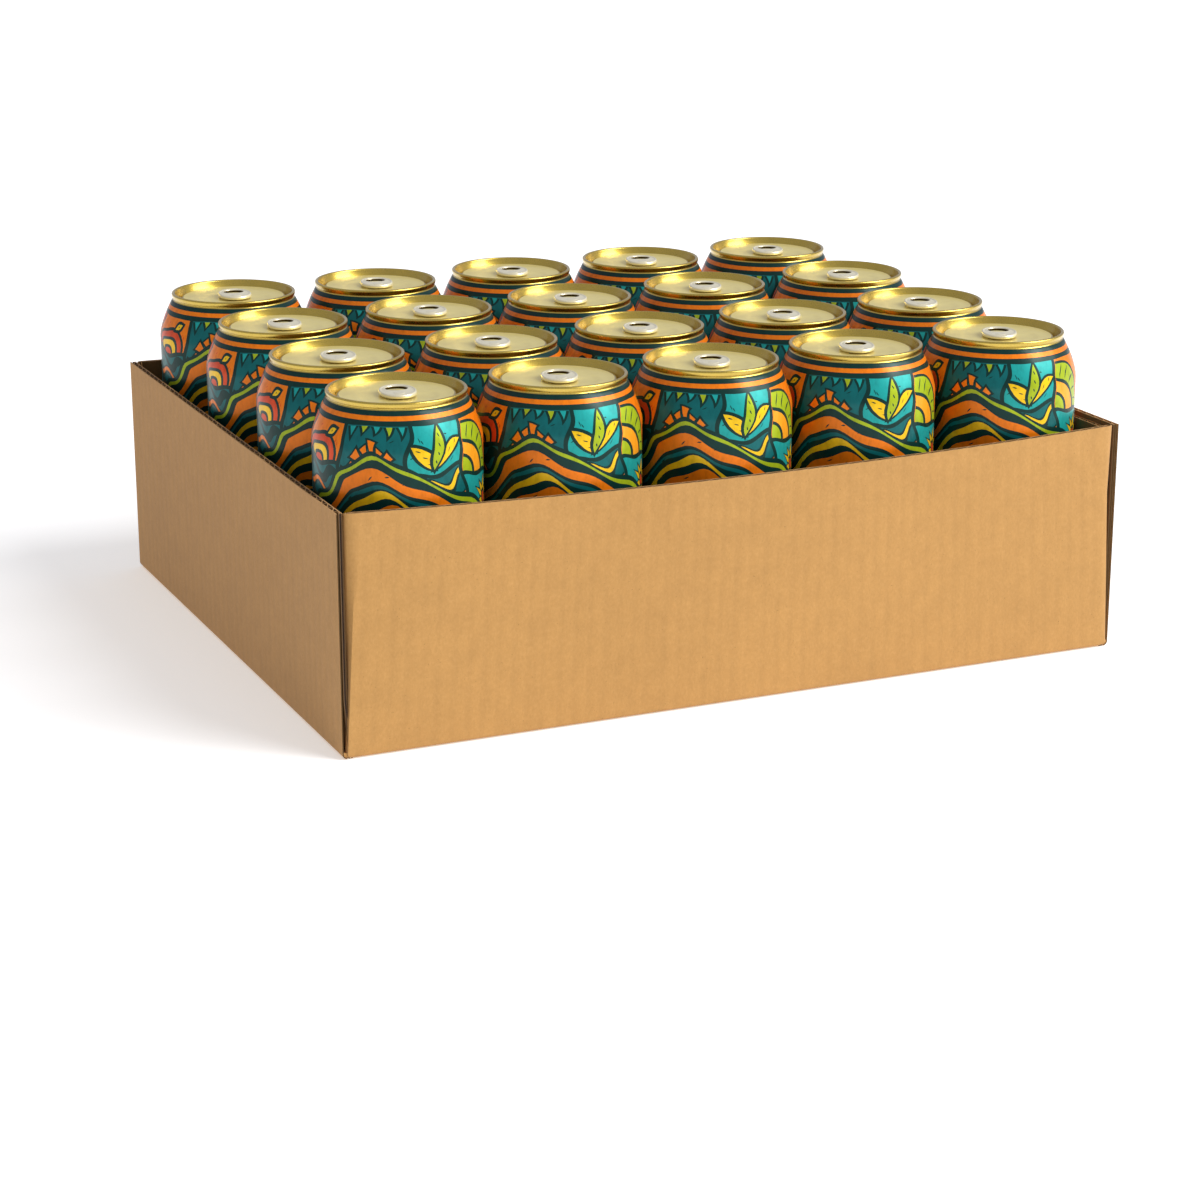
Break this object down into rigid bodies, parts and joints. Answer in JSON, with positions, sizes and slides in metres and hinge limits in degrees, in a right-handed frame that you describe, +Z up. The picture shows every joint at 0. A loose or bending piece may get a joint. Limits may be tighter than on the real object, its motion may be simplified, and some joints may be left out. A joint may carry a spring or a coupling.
{
  "type": "tray of canned drinks",
  "caption": "Open corrugated board tray filled with rows of shut printed drinks cans with gold ends and ring tabs.",
  "frame": {"origin": "middle of the tray's bottom face", "axes": "+Z up, +X to the right along the long front wall, +Y from the front wall to the back wall"},
  "size_m": [0.3448, 0.2958, 0.134],
  "materials": {
    "board": "matt brown kraft corrugated board, about 2.5 mm thick",
    "printed_can": "satin printed aluminium, dark teal, turquoise, orange and yellow",
    "gold_metal": "gold lacquered aluminium, satin"
  },
  "bodies": {
    "root": {"tray": "board", "can_r1_c1": "printed_can", "can_r1_c2": "printed_can", "can_r1_c3": "printed_can", "can_r1_c4": "printed_can", "can_r1_c5": "printed_can", "can_r2_c1": "printed_can", "can_r2_c2": "printed_can", "can_r2_c3": "printed_can", "can_r2_c4": "printed_can", "can_r2_c5": "printed_can", "can_r3_c1": "printed_can", "can_r3_c2": "printed_can", "can_r3_c3": "printed_can", "can_r3_c4": "printed_can", "can_r3_c5": "printed_can", "can_r4_c1": "printed_can", "can_r4_c2": "printed_can", "can_r4_c3": "printed_can", "can_r4_c4": "printed_can", "can_r4_c5": "printed_can", "tab_r1_c1": "gold_metal", "tab_r1_c2": "gold_metal", "tab_r1_c3": "gold_metal", "tab_r1_c4": "gold_metal", "tab_r1_c5": "gold_metal", "tab_r2_c1": "gold_metal", "tab_r2_c2": "gold_metal", "tab_r2_c3": "gold_metal", "tab_r2_c4": "gold_metal", "tab_r2_c5": "gold_metal", "tab_r3_c1": "gold_metal", "tab_r3_c2": "gold_metal", "tab_r3_c3": "gold_metal", "tab_r3_c4": "gold_metal", "tab_r3_c5": "gold_metal", "tab_r4_c1": "gold_metal", "tab_r4_c2": "gold_metal", "tab_r4_c3": "gold_metal", "tab_r4_c4": "gold_metal", "tab_r4_c5": "gold_metal"}
  },
  "joints": []
}
